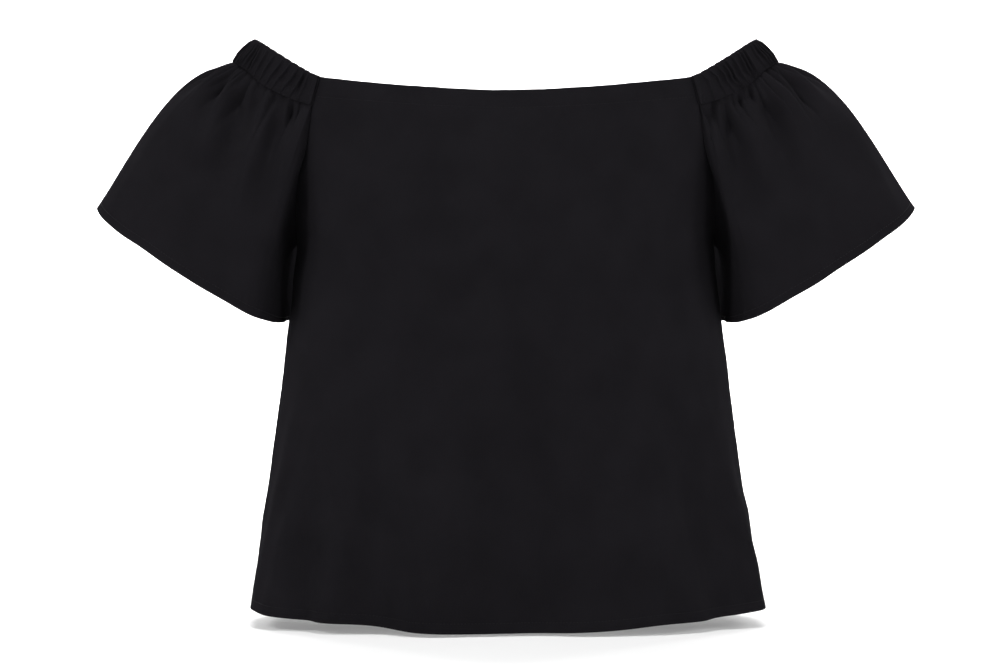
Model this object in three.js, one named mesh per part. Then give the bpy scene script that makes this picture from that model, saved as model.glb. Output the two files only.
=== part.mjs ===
// Off-the-shoulder blouse in plain black crepe, filled out as if it were worn.
// A smooth front and back, two flared sleeves, and an elastic casing gathering each sleeve head.
// Millimetres, +Z up, front towards -Y, and the wearer's left towards +X. The origin is the middle
// of the neck opening at the mean height of the casings, where the upper arms hold the blouse.
import * as THREE from 'three';

// Cloth
const CLOTH_WALL = 1.5;
const TURNED_WALL = 2.4;
const CASING_WALL = 4;
const SEAM_GAP = 0.5;
const SHARPEST_MITRE = 0.8;
const CLOTH = { color: 0x1b1b1d, roughness: 0.85, metalness: 0 };

// Body
const SQUARENESS = 2.3;
const UNDERARM_HEIGHT = -150;
const NECK_HEIGHT_MIDDLE = -21.8;
const NECK_RISE_POWER = 1.5;
const HEM_HEIGHT = -463.5;
const SIDE_SEAM_SWING = 12;

// Horizontal rings of the body. Above the underarm they run on into the shoulders.
const BODY_RINGS = [
  { height: -480, halfWidth: 226, frontDepth: 149, backDepth: 141 },
  { height: -410, halfWidth: 216.4, frontDepth: 140, backDepth: 133 },
  { height: -330, halfWidth: 204, frontDepth: 132, backDepth: 123 },
  { height: -220, halfWidth: 190, frontDepth: 129, backDepth: 114 },
  { height: -150, halfWidth: 183, frontDepth: 132, backDepth: 112 },
  { height: -118, halfWidth: 189, frontDepth: 131, backDepth: 112 },
  { height: -70, halfWidth: 207, frontDepth: 121, backDepth: 108 },
  { height: -30, halfWidth: 226, frontDepth: 107, backDepth: 101 },
  { height: -5, halfWidth: 237, frontDepth: 98, backDepth: 96 },
];

// How far the hem drops below its height at the side seams, by degrees round from the side
const HEM_DROPS = [
  { angle: 12, frontDrop: 0, backDrop: 0 },
  { angle: 28, frontDrop: 4.4, backDrop: 3.4 },
  { angle: 40, frontDrop: 6.9, backDrop: 5.6 },
  { angle: 58, frontDrop: 8.2, backDrop: 7.2 },
  { angle: 69, frontDrop: 11.7, backDrop: 8.8 },
  { angle: 78, frontDrop: 13.9, backDrop: 9.8 },
  { angle: 90, frontDrop: 14.8, backDrop: 10.2 },
];

// Armhole seam, from the underarm up to the neck edge, in degrees forward or back of the side
const ARMHOLE = [
  { step: 0, height: -150, angle: 0 },
  { step: 1, height: -140, angle: 6 },
  { step: 2, height: -128.5, angle: 12 },
  { step: 3, height: -114.5, angle: 18.5 },
  { step: 4, height: -95, angle: 27 },
  { step: 5, height: -70, angle: 37 },
  { step: 6, height: -30, angle: 46 },
  { step: 7, height: -8.8, angle: 50.5 },
];
const CASING_STEP = 6;
const NECK_STEP = 7;

// Soft flares of the body, each from a starting height down to the hem, in degrees round from the
// wearer's left side through the front. A positive depth is a ridge and a negative one a trough.
const FLARES = [
  { start: -185, startAngle: 46, hemAngle: 17, width: 7, depth: 6.5 },
  { start: -200, startAngle: 28, hemAngle: 19, width: 5, depth: 2.5 },
  { start: -190, startAngle: 57, hemAngle: 37, width: 6.5, depth: -10 },
  { start: -290, startAngle: 70, hemAngle: 62, width: 10, depth: 5 },
  { start: -225, startAngle: 84, hemAngle: 86, width: 8, depth: -14 },
  { start: -290, startAngle: 103, hemAngle: 105, width: 7, depth: 7 },
  { start: -225, startAngle: 121, hemAngle: 116, width: 6, depth: -10.5 },
  { start: -370, startAngle: 128, hemAngle: 129, width: 6, depth: 5.5 },
  { start: -300, startAngle: 132, hemAngle: 137, width: 5.5, depth: -8 },
  { start: -185, startAngle: 146, hemAngle: 161, width: 6, depth: 5 },
  { start: -260, startAngle: 137, hemAngle: 151, width: 6, depth: 7 },
  { start: -240, startAngle: 205, hemAngle: 208, width: 9, depth: 6 },
  { start: -260, startAngle: 224, hemAngle: 228, width: 8, depth: -7 },
  { start: -230, startAngle: 244, hemAngle: 247, width: 10, depth: 8 },
  { start: -280, startAngle: 264, hemAngle: 266, width: 9, depth: -8 },
  { start: -250, startAngle: 287, hemAngle: 284, width: 9, depth: 8 },
  { start: -270, startAngle: 309, hemAngle: 305, width: 9, depth: -7 },
  { start: -230, startAngle: 332, hemAngle: 327, width: 8, depth: 6 },
];
const FLARE_FULL = 0.7;

// Elastic casing: its two edges at the outside of the shoulder, and how each climbs to there
const CASING_TOP = { step: 7, halfWidth: 221.5, height: 31.5, rise: 1.12 };
const CASING_FOOT = { step: 6, halfWidth: 237, height: 8, rise: 1.4 };
const CASING_BULGE = 4;
const PLEATS_PER_HALF = 13;
const PLEAT_DEPTH = 2.4;
const PLEAT_UNEVENNESS = 0.35;
const PLEAT_TURN = 2.4;
const PLEAT_SHOULDERS = [0, 0.28, 0.72];
const PLEAT_REACH = 0.2;

// Sleeve: how each line of it leaves its seam, and how it reaches the hem, by degrees round from
// the underarm. The first handle starts at the armhole or casing, the second above the hem.
const SLEEVE_LINES = [
  { around: 0, leaveX: 13, leaveY: 0, leaveZ: -9, arriveX: 4, arriveY: 0, arriveZ: 25 },
  { around: 24, leaveX: 14, leaveY: -12, leaveZ: -14, arriveX: 2, arriveY: 0, arriveZ: 40 },
  { around: 48, leaveX: 10, leaveY: -14, leaveZ: -30, arriveX: -6, arriveY: -6, arriveZ: 60 },
  { around: 90, leaveX: 16, leaveY: -20, leaveZ: -24, arriveX: -16, arriveY: -10, arriveZ: 60 },
  { around: 135, leaveX: 42, leaveY: -16, leaveZ: -4, arriveX: -26, arriveY: -10, arriveZ: 54 },
  { around: 180, leaveX: 52, leaveY: 0, leaveZ: 8, arriveX: -30.5, arriveY: 0, arriveZ: 42 },
];

// Sleeve hem, from the underarm round its front to the tip. At the back, just behind the
// underarm, it hugs the body.
const SLEEVE_HEM = [
  { around: 0, x: 193.5, y: 0, z: -217 },
  { around: 14, x: 192.5, y: -25, z: -218 },
  { around: 26, x: 196, y: -49, z: -218.5 },
  { around: 38, x: 203, y: -68, z: -217.5 },
  { around: 52, x: 220, y: -79, z: -211.5 },
  { around: 68, x: 245, y: -80, z: -197.5 },
  { around: 86, x: 268, y: -78, z: -184 },
  { around: 104, x: 290, y: -73, z: -170 },
  { around: 124, x: 312, y: -63, z: -155.5 },
  { around: 144, x: 335, y: -50, z: -140 },
  { around: 162, x: 352, y: -31, z: -126.5 },
  { around: 180, x: 359.5, y: 0, z: -117.5 },
];
const BACK_HEM_LIFT = 8;
const BACK_HEM_DEPTH = 0.94;
const BACK_HEM_HUG = { around: 30, width: 11, depth: 10.5 };
const BACK_LEAVE_HUG = 11;
const CASING_AROUND = 48;

// Gathers of each sleeve, from where each leaves the casing to where it dies away
const LEFT_GATHERS = [
  { from: 55, to: 49, reach: 0.3, width: 4, depth: -5 },
  { from: 73, to: 52, reach: 0.62, width: 6, depth: -11 },
  { from: 85, to: 82, reach: 0.25, width: 4, depth: -5 },
  { from: 97, to: 86, reach: 0.3, width: 4, depth: -5 },
  { from: 109, to: 86, reach: 0.64, width: 6.5, depth: -10 },
  { from: 143, to: 124, reach: 0.52, width: 5.5, depth: -8 },
  { from: 170, to: 152, reach: 0.4, width: 6, depth: -5 },
  { from: 194, to: 198, reach: 0.4, width: 7, depth: -5 },
  { from: 220, to: 228, reach: 0.6, width: 7, depth: -8.5 },
  { from: 246, to: 252, reach: 0.4, width: 6, depth: -6 },
  { from: 270, to: 276, reach: 0.6, width: 6.5, depth: -8.5 },
  { from: 294, to: 300, reach: 0.35, width: 6, depth: -5 },
];
const RIGHT_GATHERS = [
  { from: 65, to: 59, reach: 0.32, width: 4, depth: -6 },
  { from: 78, to: 52, reach: 0.66, width: 5.5, depth: -9 },
  { from: 99, to: 86, reach: 0.5, width: 5, depth: -8 },
  { from: 118, to: 84, reach: 0.64, width: 6.5, depth: -11 },
  { from: 139, to: 119, reach: 0.52, width: 5.5, depth: -8 },
  { from: 168, to: 150, reach: 0.4, width: 6, depth: -5 },
  { from: 190, to: 196, reach: 0.35, width: 7, depth: -5 },
  { from: 214, to: 222, reach: 0.55, width: 7, depth: -8.5 },
  { from: 240, to: 247, reach: 0.4, width: 6, depth: -6 },
  { from: 266, to: 273, reach: 0.6, width: 6.5, depth: -8.5 },
  { from: 291, to: 297, reach: 0.4, width: 6, depth: -6 },
];

// Rows and columns of the walls. Rows of a body panel are heights above its hem up to the
// underarm, then steps of the armhole; rows of a sleeve are shares of the way to its hem.
const PANEL_COLUMNS = 36;
const TURNED_RISES = [0, 10];
const PLAIN_RISES = [11, 60, 110, 160, 210, 262, UNDERARM_HEIGHT - HEM_HEIGHT];
const ARMHOLE_STEPS = [0, 1, 2, 3, 4, 5, 5.8, 6];
const SLEEVE_ROWS = [0, 0.06, 0.14, 0.26, 0.42, 0.6, 0.78, 0.948];
const SLEEVE_TURNED_ROWS = [0.953, 1];

const DEGREE = Math.PI / 180;

// A table of degrees around, carried past both of its ends as a mirror shows it: the named
// columns change sign there
function roundMirror(rows, odd) {
  const image = (row, end) => {
    const flipped = odd.map((column) => [column, -row[column]]);
    return { ...row, around: 2 * end.around - row.around, ...Object.fromEntries(flipped) };
  };
  return [image(rows[1], rows[0]), ...rows, image(rows.at(-2), rows.at(-1))];
}

// A smooth curve through a table's rows, giving one column's value at any value of its key
function through(rows, key, column) {
  const slope = (i) => {
    const before = rows[Math.max(i - 1, 0)];
    const after = rows[Math.min(i + 1, rows.length - 1)];
    return (after[column] - before[column]) / (after[key] - before[key]);
  };
  return (at) => {
    let i = 0;
    while (i < rows.length - 2 && at > rows[i + 1][key]) i += 1;
    const span = rows[i + 1][key] - rows[i][key];
    const t = THREE.MathUtils.clamp((at - rows[i][key]) / span, 0, 1);
    const rise = rows[i + 1][column] - rows[i][column];
    const bend = (slope(i) * span - rise) * (1 - t) + (rise - slope(i + 1) * span) * t;
    return rows[i][column] + rise * t + bend * t * (1 - t);
  };
}

const { lerp, smoothstep } = THREE.MathUtils;
const bump = (offset, width) => Math.exp(-((offset / width) ** 2));
const signedPower = (value, power) => Math.sign(value) * Math.abs(value) ** power;
const spread = (count) => Array.from({ length: count + 1 }, (_, i) => i / count);

const ringHalfWidth = through(BODY_RINGS, 'height', 'halfWidth');
const ringFrontDepth = through(BODY_RINGS, 'height', 'frontDepth');
const ringBackDepth = through(BODY_RINGS, 'height', 'backDepth');
const frontHemDrop = through(HEM_DROPS, 'angle', 'frontDrop');
const backHemDrop = through(HEM_DROPS, 'angle', 'backDrop');
const armholeHeight = through(ARMHOLE, 'step', 'height');
const armholeAngle = through(ARMHOLE, 'step', 'angle');

// How far the flares push the body's surface out at an angle and height
function flareDepth(degrees, height) {
  return FLARES.reduce((sum, flare) => {
    const fall = (flare.start - height) / (flare.start - HEM_HEIGHT);
    const middle = lerp(flare.startAngle, flare.hemAngle, fall);
    return sum + flare.depth * smoothstep(fall, 0, FLARE_FULL) * bump(degrees - middle, flare.width);
  }, 0);
}

// A point of the body's surface
function bodyPoint(degrees, height) {
  const across = Math.cos(degrees * DEGREE);
  const forward = Math.sin(degrees * DEGREE);
  const halfWidth = ringHalfWidth(height);
  const depth = forward >= 0 ? ringFrontDepth(height) : ringBackDepth(height);
  const outward = new THREE.Vector3(across / halfWidth, -forward / depth, 0).normalize();
  return new THREE.Vector3(
    halfWidth * signedPower(across, 2 / SQUARENESS),
    -depth * signedPower(forward, 2 / SQUARENESS),
    height,
  ).addScaledVector(outward, flareDepth((degrees + 360) % 360, height));
}

// Rows of a body panel from hem to neck, each a rise above the hem or a step of the armhole
const PANEL_ROWS = [
  ...TURNED_RISES.map((rise) => ({ rise, wall: TURNED_WALL })),
  ...PLAIN_RISES.map((rise) => ({ rise, wall: CLOTH_WALL })),
  ...ARMHOLE_STEPS.slice(1, -1).map((step) => ({ step, wall: CLOTH_WALL })),
  { step: CASING_STEP, wall: TURNED_WALL },
  { step: NECK_STEP, wall: TURNED_WALL },
];

// A point of a panel: the hem drops and the neck dips towards the middle of the panel
function panelPoint(row, share, isFront) {
  const isArmhole = row.step !== undefined;
  const edgeHeight = isArmhole ? armholeHeight(row.step) : HEM_HEIGHT + row.rise;
  const seam = (isFront ? 1 : -1) * SIDE_SEAM_SWING
    * (1 - smoothstep(edgeHeight, HEM_HEIGHT, UNDERARM_HEIGHT));
  const edgeAngle = isArmhole ? armholeAngle(row.step) : seam;
  const degrees = lerp(edgeAngle, 180 - edgeAngle, share);
  const across = Math.abs(Math.cos(degrees * DEGREE) / Math.cos(edgeAngle * DEGREE));
  let height = edgeHeight;
  if (isArmhole) {
    const middleHeight = lerp(UNDERARM_HEIGHT, NECK_HEIGHT_MIDDLE, row.step / NECK_STEP);
    height = lerp(middleHeight, edgeHeight, across ** NECK_RISE_POWER);
  } else {
    const fromSide = Math.min(degrees, 180 - degrees);
    const fade = 1 - row.rise / (UNDERARM_HEIGHT - HEM_HEIGHT);
    height -= fade * (isFront ? frontHemDrop(fromSide) : backHemDrop(fromSide));
  }
  return bodyPoint(isFront ? degrees : degrees + 180, height);
}

function panelGrid(isFront) {
  return PANEL_ROWS.map((row) => spread(PANEL_COLUMNS).map((share) => panelPoint(row, share, isFront)));
}

// A point of the left armhole seam
function armholePoint(step, isFront) {
  const angle = armholeAngle(step);
  return bodyPoint(isFront ? angle : -angle, armholeHeight(step));
}

// An edge of the casing, from the front seam (turn 0) over the shoulder (1) to the back seam (2)
function casingPoint(edge, turn) {
  const isFront = turn <= 1;
  const power = 2 / SQUARENESS;
  const seam = armholePoint(edge.step, isFront);
  const seamAngle = Math.asin((seam.x / edge.halfWidth) ** (1 / power));
  const angle = lerp(seamAngle, Math.PI / 2, isFront ? turn : 2 - turn);
  const x = edge.halfWidth * Math.sin(angle) ** power;
  const y = seam.y * (Math.abs(Math.cos(angle)) / Math.cos(seamAngle)) ** power;
  const climb = THREE.MathUtils.clamp((x - seam.x) / (edge.halfWidth - seam.x), 0, 1);
  return new THREE.Vector3(x, y, lerp(seam.z, edge.height, climb ** edge.rise));
}

// Columns of a casing: each pleat is a sharp valley and the two shoulders of its ridge
function pleatColumns(phase) {
  const half = Array.from({ length: PLEATS_PER_HALF }, (_, i) => (
    1 + PLEAT_UNEVENNESS * Math.sin(PLEAT_TURN * i + phase)));
  const total = half.reduce((sum, width) => sum + width, 0);
  const columns = [];
  let start = 0;
  [...half, ...half.slice().reverse()].forEach((width, i) => {
    PLEAT_SHOULDERS.forEach((share) => {
      const isValley = share === 0 && i % PLEATS_PER_HALF > 0;
      columns.push({ turn: (start + share * width) / total, sink: isValley ? PLEAT_DEPTH : 0 });
    });
    start += width;
  });
  return [...columns, { turn: 2, sink: 0 }];
}

// A point of the sleeve's hem
const SLEEVE_HEM_RING = roundMirror(SLEEVE_HEM, ['y']);
const hemX = through(SLEEVE_HEM_RING, 'around', 'x');
const hemY = through(SLEEVE_HEM_RING, 'around', 'y');
const hemZ = through(SLEEVE_HEM_RING, 'around', 'z');
function sleeveHemPoint(around) {
  if (around <= 180) return new THREE.Vector3(hemX(around), hemY(around), hemZ(around));
  const front = 360 - around;
  const lift = BACK_HEM_LIFT * Math.sin(front * DEGREE);
  const hug = BACK_HEM_HUG.depth * bump(front - BACK_HEM_HUG.around, BACK_HEM_HUG.width);
  return new THREE.Vector3(hemX(front) - hug, -hemY(front) * BACK_HEM_DEPTH, hemZ(front) + lift);
}

// Columns of a sleeve: up the front of the armhole, along the casing, and down the back. The
// body's side passes close below the underarm, so the first column stands off it a little.
function sleeveColumns(pleats) {
  const front = ARMHOLE_STEPS.slice(0, -1).map((step) => ({
    around: (CASING_AROUND * step) / CASING_STEP,
    start: armholePoint(step, true),
    sink: 0,
  }));
  const head = pleats.map(({ turn, sink }) => ({
    around: lerp(CASING_AROUND, 360 - CASING_AROUND, turn / 2),
    start: casingPoint(CASING_FOOT, turn),
    sink,
  }));
  const back = ARMHOLE_STEPS.slice(1, -1).reverse().map((step) => ({
    around: 360 - (CASING_AROUND * step) / CASING_STEP,
    start: armholePoint(step, false),
    sink: 0,
  }));
  front[0].start.x += SEAM_GAP / 2;
  return [...front, ...head, ...back];
}

// One line of the sleeve, bending from its seam down to the hem
const SLEEVE_LINE_RING = roundMirror(SLEEVE_LINES, ['leaveY', 'arriveY']);
const leaveX = through(SLEEVE_LINE_RING, 'around', 'leaveX');
const leaveY = through(SLEEVE_LINE_RING, 'around', 'leaveY');
const leaveZ = through(SLEEVE_LINE_RING, 'around', 'leaveZ');
const arriveX = through(SLEEVE_LINE_RING, 'around', 'arriveX');
const arriveY = through(SLEEVE_LINE_RING, 'around', 'arriveY');
const arriveZ = through(SLEEVE_LINE_RING, 'around', 'arriveZ');
function sleeveLine({ around, start }) {
  const at = Math.min(around, 360 - around);
  const side = around > 180 ? -1 : 1;
  const end = sleeveHemPoint(around);
  const isUnderBack = around > 180 && at < CASING_AROUND;
  const hug = isUnderBack ? BACK_LEAVE_HUG * Math.sin((Math.PI * at) / CASING_AROUND) : 0;
  const leave = new THREE.Vector3(leaveX(at) - hug, side * leaveY(at), leaveZ(at));
  const arrive = new THREE.Vector3(arriveX(at), side * arriveY(at), arriveZ(at));
  return new THREE.CubicBezierCurve3(start, start.clone().add(leave), end.clone().add(arrive), end);
}

// How far the gathers push the sleeve out at a column, part of the way to the hem
function gatherDepth(column, share, gathers) {
  const pleat = -column.sink * (1 - smoothstep(share, 0, PLEAT_REACH));
  return gathers.reduce((sum, gather) => {
    const way = share / gather.reach;
    const middle = lerp(gather.from, gather.to, way);
    const swell = smoothstep(way, 0, 0.3) * (1 - smoothstep(way, 0.3, 1));
    return sum + gather.depth * swell * bump(column.around - middle, gather.width * (1 + way));
  }, pleat);
}

// Outward normals of a grid of points. The last column of a ring joins its first.
function gridNormals(grid, isRing) {
  const columns = grid[0].length;
  const beside = (j) => (isRing ? (j + columns) % columns : THREE.MathUtils.clamp(j, 0, columns - 1));
  return grid.map((row, i) => row.map((_, j) => {
    const along = row[beside(j + 1)].clone().sub(row[beside(j - 1)]);
    const up = grid[Math.min(i + 1, grid.length - 1)][j].clone().sub(grid[Math.max(i - 1, 0)][j]);
    return up.cross(along).normalize();
  }));
}

// A piece of cloth: its smooth surface, how far its outer face stands off that surface, and how
// far its inner face lies below it
function panelPiece(isFront) {
  const smooth = panelGrid(isFront);
  return {
    name: isFront ? 'front_panel' : 'back_panel',
    cut: 'panel',
    smooth,
    normals: gridNormals(smooth, false),
    outer: () => 0,
    inner: (i) => -PANEL_ROWS[i].wall,
    isRing: false,
  };
}

// A casing puffs out between its two edges, but not at its seams.
function casingPiece(name, pleats, mirror) {
  const top = pleats.map(({ turn }) => casingPoint(CASING_TOP, turn));
  const foot = pleats.map(({ turn }) => casingPoint(CASING_FOOT, turn));
  const middle = top.map((point, j) => point.clone().lerp(foot[j], 0.5));
  const smooth = [top, middle, foot];
  const puff = (i, j) => (i === 1 ? CASING_BULGE * Math.sin((Math.PI * pleats[j].turn) / 2) : 0);
  return {
    name,
    cut: 'casing',
    smooth,
    normals: gridNormals(smooth, false),
    outer: (i, j) => puff(i, j) - pleats[j].sink,
    inner: () => -CASING_WALL,
    isRing: false,
    mirror,
  };
}

function sleevePiece(name, pleats, gathers, mirror) {
  const columns = sleeveColumns(pleats);
  const lines = columns.map(sleeveLine);
  const rows = [...SLEEVE_ROWS, ...SLEEVE_TURNED_ROWS];
  const smooth = rows.map((share) => lines.map((line) => line.getPoint(share)));
  const outer = (i, j) => gatherDepth(columns[j], rows[i], gathers);
  const wall = (i) => (i < SLEEVE_ROWS.length ? CLOTH_WALL : TURNED_WALL);
  return {
    name,
    cut: 'sleeve',
    smooth,
    normals: gridNormals(smooth, true),
    outer,
    inner: (i, j) => outer(i, j) - wall(i),
    isRing: true,
    mirror,
  };
}

// Pieces that share a seam share its normal too, so that their walls meet in a mitre. Points on
// the right are matched with their mirror images, because every sleeve is drawn on the left.
function mitreSeams(pieces) {
  const places = new Map();
  const eachPoint = (visit) => pieces.forEach(({ cut, smooth, normals }) => {
    smooth.forEach((row, i) => row.forEach((point, j) => {
      const side = new THREE.Vector3(point.x < 0 ? -1 : 1, 1, 1);
      const place = point.clone().multiply(side).toArray().map((value) => Math.round(value * 10));
      visit(place.join(), normals[i][j], side, cut);
    }));
  });
  eachPoint((place, normal, side, cut) => {
    const sums = places.get(place) ?? {};
    sums[cut] = (sums[cut] ?? new THREE.Vector3()).add(normal.clone().multiply(side));
    places.set(place, sums);
  });
  eachPoint((place, normal, side) => {
    const mitre = new THREE.Vector3();
    Object.values(places.get(place)).forEach((sum) => mitre.add(sum.clone().normalize()));
    mitre.multiply(side).normalize();
    const lean = mitre.dot(normal);
    if (lean > SHARPEST_MITRE) normal.copy(mitre).divideScalar(lean);
  });
}

// Draws the edges of a face back from the seams by half the gap between pieces.
function drawBack(face, isRing) {
  const last = face.length - 1;
  const side = face[0].length - 1;
  const moves = [];
  const move = (point, before, after, inside) => {
    const along = after.clone().sub(before).normalize();
    const inward = inside.clone().sub(point);
    inward.addScaledVector(along, -inward.dot(along)).setLength(SEAM_GAP / 2);
    moves.push(() => point.add(inward));
  };
  const columnAt = (j) => (isRing ? (j + side + 1) % (side + 1) : THREE.MathUtils.clamp(j, 0, side));
  face[0].forEach((point, j) => {
    move(point, face[0][columnAt(j - 1)], face[0][columnAt(j + 1)], face[1][j]);
    move(face[last][j], face[last][columnAt(j - 1)], face[last][columnAt(j + 1)], face[last - 1][j]);
  });
  if (!isRing) {
    face.forEach((row, i) => {
      const before = face[Math.max(i - 1, 0)];
      const after = face[Math.min(i + 1, last)];
      move(row[0], before[0], after[0], row[1]);
      move(row[side], before[side], after[side], row[side - 1]);
    });
  }
  moves.forEach((apply) => apply());
}

// A closed wall between an outer and an inner face
function wallGeometry(outer, inner, isRing) {
  const rows = outer.length;
  const columns = outer[0].length;
  const last = isRing ? columns : columns - 1;
  const at = (face, i, j) => (face * rows + i) * columns + (j % columns);
  const triangles = [];
  const quad = (a, b, c, d) => triangles.push(a, b, c, a, c, d);
  for (let j = 0; j < last; j += 1) {
    for (let i = 0; i < rows - 1; i += 1) {
      quad(at(0, i, j), at(0, i + 1, j), at(0, i + 1, j + 1), at(0, i, j + 1));
      quad(at(1, i, j), at(1, i, j + 1), at(1, i + 1, j + 1), at(1, i + 1, j));
    }
    quad(at(0, 0, j), at(0, 0, j + 1), at(1, 0, j + 1), at(1, 0, j));
    quad(at(0, rows - 1, j), at(1, rows - 1, j), at(1, rows - 1, j + 1), at(0, rows - 1, j + 1));
  }
  for (let i = 0; i < rows - 1 && !isRing; i += 1) {
    quad(at(0, i, 0), at(1, i, 0), at(1, i + 1, 0), at(0, i + 1, 0));
    quad(at(0, i, last), at(0, i + 1, last), at(1, i + 1, last), at(1, i, last));
  }
  const positions = [...outer, ...inner].flat().flatMap((point) => point.toArray());
  const geometry = new THREE.BufferGeometry();
  geometry.setAttribute('position', new THREE.Float32BufferAttribute(positions, 3));
  geometry.setIndex(triangles);
  geometry.computeVertexNormals();
  return geometry;
}

// The right side is the left one's mirror image, so its triangles turn round.
function mirrored(geometry) {
  geometry.scale(-1, 1, 1);
  const index = geometry.getIndex();
  for (let i = 0; i < index.count; i += 3) {
    const first = index.getX(i);
    index.setX(i, index.getX(i + 1));
    index.setX(i + 1, first);
  }
  geometry.computeVertexNormals();
  return geometry;
}

function pieceMesh(piece) {
  const face = (height) => piece.smooth.map((row, i) => row.map((point, j) => (
    point.clone().addScaledVector(piece.normals[i][j], height(i, j)))));
  const faces = [face(piece.outer), face(piece.inner)];
  faces.forEach((grid) => drawBack(grid, piece.isRing));
  const wall = wallGeometry(...faces, piece.isRing);
  const mesh = new THREE.Mesh(piece.mirror ? mirrored(wall) : wall, new THREE.MeshStandardMaterial(CLOTH));
  mesh.name = piece.name;
  return mesh;
}

const leftPleats = pleatColumns(0.4);
const rightPleats = pleatColumns(2.1);
const pieces = [
  panelPiece(true),
  panelPiece(false),
  casingPiece('left_casing', leftPleats, false),
  casingPiece('right_casing', rightPleats, true),
  sleevePiece('left_sleeve', leftPleats, LEFT_GATHERS, false),
  sleevePiece('right_sleeve', rightPleats, RIGHT_GATHERS, true),
];
mitreSeams(pieces);

const blouse = new THREE.Group();
blouse.name = 'blouse';
blouse.add(...pieces.map(pieceMesh));

export default blouse;
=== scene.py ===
# Off-the-shoulder blouse in black crepe, filled out as if worn: two body panels, two flared
# sleeves gathered into elastic casings, turned hems, seam allowances and topstitching.
# Shapes are worked out in millimetres and written in metres, in the part's own frame.
import math

import bpy
import numpy as np
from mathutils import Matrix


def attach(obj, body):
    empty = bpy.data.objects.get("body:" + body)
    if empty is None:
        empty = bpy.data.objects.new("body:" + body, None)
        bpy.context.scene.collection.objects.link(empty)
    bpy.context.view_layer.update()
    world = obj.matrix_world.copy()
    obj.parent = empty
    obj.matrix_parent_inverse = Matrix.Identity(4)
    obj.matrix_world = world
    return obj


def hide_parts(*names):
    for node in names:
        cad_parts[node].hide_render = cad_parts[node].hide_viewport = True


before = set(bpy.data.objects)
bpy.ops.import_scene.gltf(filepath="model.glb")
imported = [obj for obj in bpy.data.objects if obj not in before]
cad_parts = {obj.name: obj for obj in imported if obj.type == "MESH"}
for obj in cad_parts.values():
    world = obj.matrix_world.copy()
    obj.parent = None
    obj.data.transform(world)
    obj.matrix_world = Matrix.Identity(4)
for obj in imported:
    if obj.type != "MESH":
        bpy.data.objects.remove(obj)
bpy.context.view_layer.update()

MM = 0.001

# Body
SQUARENESS = 2.3
UNDERARM_HEIGHT = -150.0
NECK_HEIGHT_MIDDLE = -21.8
NECK_RISE_POWER = 1.5
HEM_HEIGHT = -463.5
SIDE_SEAM_SWING = 12.0
BODY_LENGTH = UNDERARM_HEIGHT - HEM_HEIGHT

# height, half width, front depth, back depth
BODY_RINGS = np.array([
    (-480, 226, 149, 141),
    (-410, 216.4, 140, 133),
    (-330, 204, 132, 123),
    (-220, 190, 129, 114),
    (-150, 183, 132, 112),
    (-118, 189, 131, 112),
    (-70, 207, 121, 108),
    (-30, 226, 107, 101),
    (-5, 237, 98, 96),
], float)

# degrees from the side, front drop, back drop
HEM_DROPS = np.array([
    (12, 0, 0),
    (28, 4.4, 3.4),
    (40, 6.9, 5.6),
    (58, 8.2, 7.2),
    (69, 11.7, 8.8),
    (78, 13.9, 9.8),
    (90, 14.8, 10.2),
], float)

# step, height, degrees from the side
ARMHOLE = np.array([
    (0, -150, 0),
    (1, -140, 6),
    (2, -128.5, 12),
    (3, -114.5, 18.5),
    (4, -95, 27),
    (5, -70, 37),
    (6, -30, 46),
    (7, -8.8, 50.5),
], float)
CASING_STEP = 6.0
NECK_STEP = 7.0
# How far a panel's edge laps past the armhole seam
FRONT_LAP = 0.6
BACK_LAP = 2.0

# Rows and columns of the body's cloth, from the hem and up the armhole to the neck
PANEL_WIDTH = 500.0
PANEL_COLUMNS = 190
PANEL_ROWS = 64
ARMHOLE_ROWS = 42
HEM_STITCH_RISE = 8.3
HEM_ROWS = [2.2, 4.2, 6.2, 7.5, HEM_STITCH_RISE, 9.1, 10.6, 12.5]
FIRST_PLAIN_ROW = 15.5
NECK_ROWS = [6.08, 6.16, 6.22, 6.3, 6.45, 6.6, 6.75, 6.88]
NECK_BAND = 22.0
NECK_STITCH_DROP = 18.5
SEAM_COLUMNS = 13
SEAM_PUCKER_SEED = 13

# start height, start angle, hem angle, width, depth
FLARES = [
    (-185, 46, 17, 7, 6.5),
    (-200, 28, 19, 5, 2.5),
    (-190, 57, 37, 6.5, -10),
    (-290, 70, 62, 10, 5),
    (-225, 84, 86, 8, -14),
    (-290, 103, 105, 7, 7),
    (-225, 121, 116, 6, -10.5),
    (-370, 128, 129, 6, 5.5),
    (-300, 132, 137, 5.5, -8),
    (-185, 146, 161, 6, 5),
    (-260, 137, 151, 6, 7),
    (-240, 205, 208, 9, 6),
    (-260, 224, 228, 8, -7),
    (-230, 244, 247, 10, 8),
    (-280, 264, 266, 9, -8),
    (-250, 287, 284, 9, 8),
    (-270, 309, 305, 9, -7),
    (-230, 332, 327, 8, 6),
]
FLARE_FULL = 0.7

# Casing edges at the outside of the shoulder: half width, height, climb power
CASING_FOOT = (237.0, 8.0, 1.4)
CASING_TOP = (221.5, 31.5, 1.12)
CASING_BULGE = 4.0
CASING_LAYERS_APART = 2.6
CASING_EDGE_DIP = 0.045
CASING_OVERLAP = -0.08
CASING_ROWS = 22
HALF_CASING = 115.0
# rise, share of the depth between the two layers
CASING_FOLD = [(0.985, 0.95), (0.998, 0.75), (1.003, 0.5), (0.998, 0.25), (0.985, 0.05)]

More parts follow.
